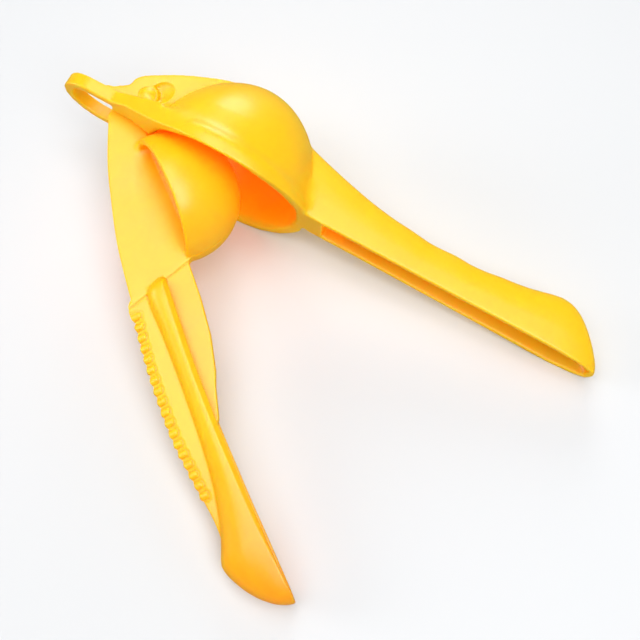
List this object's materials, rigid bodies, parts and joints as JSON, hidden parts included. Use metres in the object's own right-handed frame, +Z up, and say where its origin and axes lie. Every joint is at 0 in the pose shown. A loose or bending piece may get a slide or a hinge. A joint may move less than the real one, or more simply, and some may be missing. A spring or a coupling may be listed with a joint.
{
  "type": "hinged citrus squeezer",
  "caption": "Hinged hand squeezer for half lemons: domed strainer bowl and plunger on two trough handles joined by a pin, lying open on its side.",
  "frame": {"origin": "middle of the bounding box, on the surface it lies on", "axes": "+X along the strainer lever, from hang loop to handle end; +Y towards the top of the strainer bowl; +Z up from the surface"},
  "size_m": [0.218, 0.159, 0.0693],
  "materials": {
    "lever_plastic": "satin moulded yellow plastic",
    "pin_plastic": "satin moulded yellow plastic"
  },
  "bodies": {
    "strainer": {"strainer_lever": "lever_plastic", "hinge_pin": "pin_plastic"},
    "press": {"press_lever": "lever_plastic"}
  },
  "joints": [
    {"name": "press_hinge", "type": "hinge", "parent": "strainer", "child": "press", "pos_m": [-0.07842, 0.05425, 0.04283], "axis": [0.1823, -0.0882, 0.9793], "range_deg": [-60, 35]}
  ]
}
